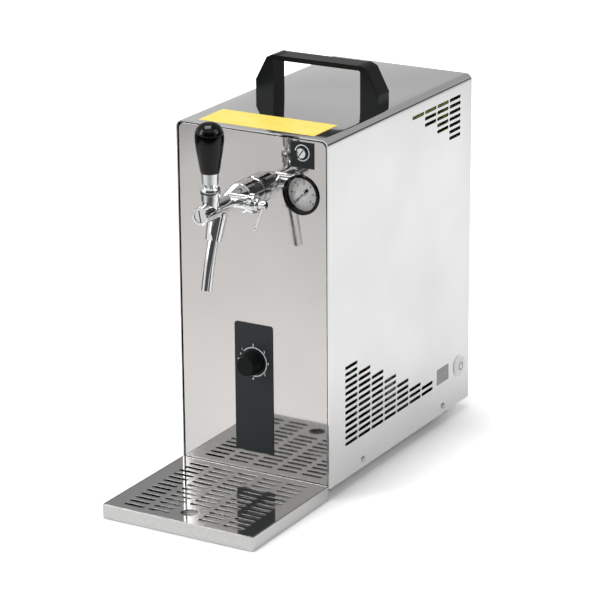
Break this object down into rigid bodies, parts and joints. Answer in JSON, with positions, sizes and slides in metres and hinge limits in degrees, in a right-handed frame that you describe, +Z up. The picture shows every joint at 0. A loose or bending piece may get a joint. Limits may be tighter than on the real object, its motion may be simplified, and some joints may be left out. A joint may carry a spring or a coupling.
{
  "type": "countertop beer dispenser",
  "caption": "Countertop beer dispenser: polished steel cabinet with cooler and air pump, chrome tap with black lever, drip tray, carry handle, gauge and thermostat.",
  "frame": {"origin": "on the ground in the middle of the whole footprint, drip tray and rear fittings included", "axes": "+Z up, +Y from the tap and drip tray to the back of the cabinet, +X to the right of someone facing the tap"},
  "size_m": [0.1972, 0.5328, 0.4597],
  "materials": {
    "shell_steel": "mirror-polished stainless sheet",
    "panel_steel": "mirror-polished stainless sheet",
    "tray_steel": "bright satin stainless sheet",
    "tap_chrome": "polished chrome plate",
    "galvanised": "zinc-plated steel sheet",
    "painted_back": "satin grey paint",
    "screw_steel": "bright steel",
    "foot_rubber": "matt moulded rubber",
    "seal_rubber": "matt moulded rubber",
    "black_plastic": "finely grained moulding",
    "knob_black": "satin moulding",
    "lever_black": "high-gloss moulding",
    "plate_black": "satin printed sheet",
    "white_plastic": "moulded",
    "button_silver": "smooth, silver finish",
    "label_yellow": "printed film",
    "label_grey": "printed film",
    "dial_white": "white enamel",
    "gauge_black": "gloss black enamel",
    "needle_black": "matt paint",
    "lens_glass": "clear flat glass",
    "brass_fitting": "machined",
    "copper_pipe": "drawn copper tube, dull",
    "cast_aluminium": "as cast",
    "foam": "moulded rigid foam",
    "hose": "translucent yellow-green tube",
    "compressor_black": "gloss black paint",
    "condenser_black": "black painted fins"
  },
  "bodies": {
    "cabinet": {"outer_shell": "shell_steel", "front_panel": "panel_steel", "base_plate": "galvanised", "rear_panel": "painted_back", "cabinet_screws": "screw_steel", "feet": "foot_rubber", "carry_handle": "black_plastic", "handle_caps": "black_plastic", "handle_screws": "screw_steel", "handle_nuts": "screw_steel", "top_label": "label_yellow", "side_label": "label_grey", "control_plate": "plate_black", "thermostat_body": "white_plastic", "thermostat_nut": "brass_fitting", "adjuster_plate": "plate_black", "air_manifold": "brass_fitting", "gauge_case": "gauge_black", "gauge_dial": "dial_white", "gauge_lens": "lens_glass", "tap_shank": "tap_chrome", "tap_collar": "tap_chrome", "tap_body": "tap_chrome", "turret_nut": "tap_chrome", "tap_front_cap": "tap_chrome", "tap_front_plug": "tap_chrome", "spout_tube": "tap_chrome", "compensator_nut": "tap_chrome", "power_button_bezel": "tap_chrome", "beer_inlet": "tap_chrome", "air_outlet": "black_plastic", "cable_gland": "black_plastic", "cooling_block": "cast_aluminium", "insulation_left": "foam", "insulation_right": "foam", "beer_line": "hose", "shelf": "galvanised", "compressor": "compressor_black", "compressor_grommets": "seal_rubber", "refrigerant_lines": "copper_pipe", "condenser": "condenser_black", "fan_shroud": "galvanised", "fan_motor": "compressor_black", "fan_motor_bracket": "galvanised", "air_pump": "white_plastic", "air_hoses": "hose"},
    "drip_tray": {"drip_tray": "tray_steel"},
    "drip_grid": {"drip_grid": "tray_steel"},
    "thermostat_knob": {"thermostat_knob": "knob_black", "thermostat_spindle": "brass_fitting"},
    "pressure_adjuster": {"pressure_adjuster": "tap_chrome"},
    "gauge_needle": {"gauge_needle": "needle_black"},
    "tap_lever": {"lever_shaft": "tap_chrome", "lever_ferrule": "tap_chrome", "lever_knob": "lever_black"},
    "tap_valve": {"valve_stem": "tap_chrome", "valve_seal": "seal_rubber"},
    "compensator": {"compensator_lever": "tap_chrome"},
    "power_button": {"power_button": "button_silver"},
    "fan_rotor": {"fan_rotor": "black_plastic"}
  },
  "joints": [
    {"name": "drip_tray_slide", "type": "slide", "parent": "cabinet", "child": "drip_tray", "axis": [0, -1, 0], "range_m": [0, 0.12]},
    {"name": "drip_grid_lift", "type": "slide", "parent": "drip_tray", "child": "drip_grid", "axis": [0, 0, 1], "range_m": [0, 0.04]},
    {"name": "thermostat_knob_turn", "type": "hinge", "parent": "cabinet", "child": "thermostat_knob", "pos_m": [0, -0.10615, 0.1464], "axis": [0, 1, 0], "range_deg": [0, 266]},
    {"name": "pressure_adjuster_turn", "type": "hinge", "parent": "cabinet", "child": "pressure_adjuster", "pos_m": [0.0639, -0.10115, 0.3955], "axis": [0, 1, 0], "range_deg": [-360, 360]},
    {"name": "gauge_needle_swing", "type": "hinge", "parent": "cabinet", "child": "gauge_needle", "pos_m": [0.062, -0.10115, 0.348], "axis": [0, 1, 0], "range_deg": [0, 270], "stiffness_Nm_per_rad": 0.0005},
    {"name": "tap_lever_tilt", "type": "hinge", "parent": "cabinet", "child": "tap_lever", "pos_m": [0, -0.18565, 0.362], "axis": [1, 0, 0], "range_deg": [0, 25]},
    {"name": "tap_valve_slide", "type": "slide", "parent": "cabinet", "child": "tap_valve", "axis": [0, 1, 0], "range_m": [0, 0.0068]},
    {"name": "compensator_turn", "type": "hinge", "parent": "cabinet", "child": "compensator", "pos_m": [0.03, -0.14775, 0.3461], "axis": [1, 0, 0], "range_deg": [-90, 90]},
    {"name": "power_button_press", "type": "slide", "parent": "cabinet", "child": "power_button", "axis": [-1, 0, 0], "range_m": [0, 0.0022], "stiffness_N_per_m": 400},
    {"name": "fan_spin", "type": "hinge", "parent": "cabinet", "child": "fan_rotor", "pos_m": [0, 0.14885, 0.1587], "axis": [0, 1, 0], "continuous": true}
  ],
  "couplings": [
    {"joint": "tap_valve_slide", "follows": "tap_lever_tilt", "m_per_rad": 0.0155}
  ]
}
